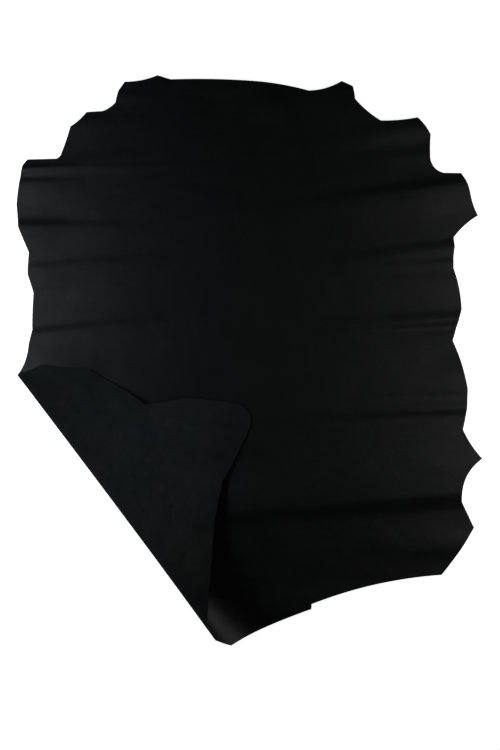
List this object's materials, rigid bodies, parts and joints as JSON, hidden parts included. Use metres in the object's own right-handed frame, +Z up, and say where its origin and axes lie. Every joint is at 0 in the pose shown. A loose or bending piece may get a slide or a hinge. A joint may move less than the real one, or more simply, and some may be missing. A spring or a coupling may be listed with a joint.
{
  "type": "leather hide",
  "caption": "Whole black leather hide laid flat grain side up, its left hind corner folded over diagonally to show the suede flesh side.",
  "frame": {"origin": "on the surface that the hide lies on, under the middle of its outline as laid", "axes": "+Z up through the grain side, +Y along the spine towards the neck, +X towards the flank that is not folded"},
  "size_m": [1.396, 1.7044, 0.1252],
  "materials": {
    "leather": "semi-matte black grain leather, with a napped charcoal suede flesh side"
  },
  "bodies": {
    "root": {"hide": "leather"}
  },
  "joints": []
}
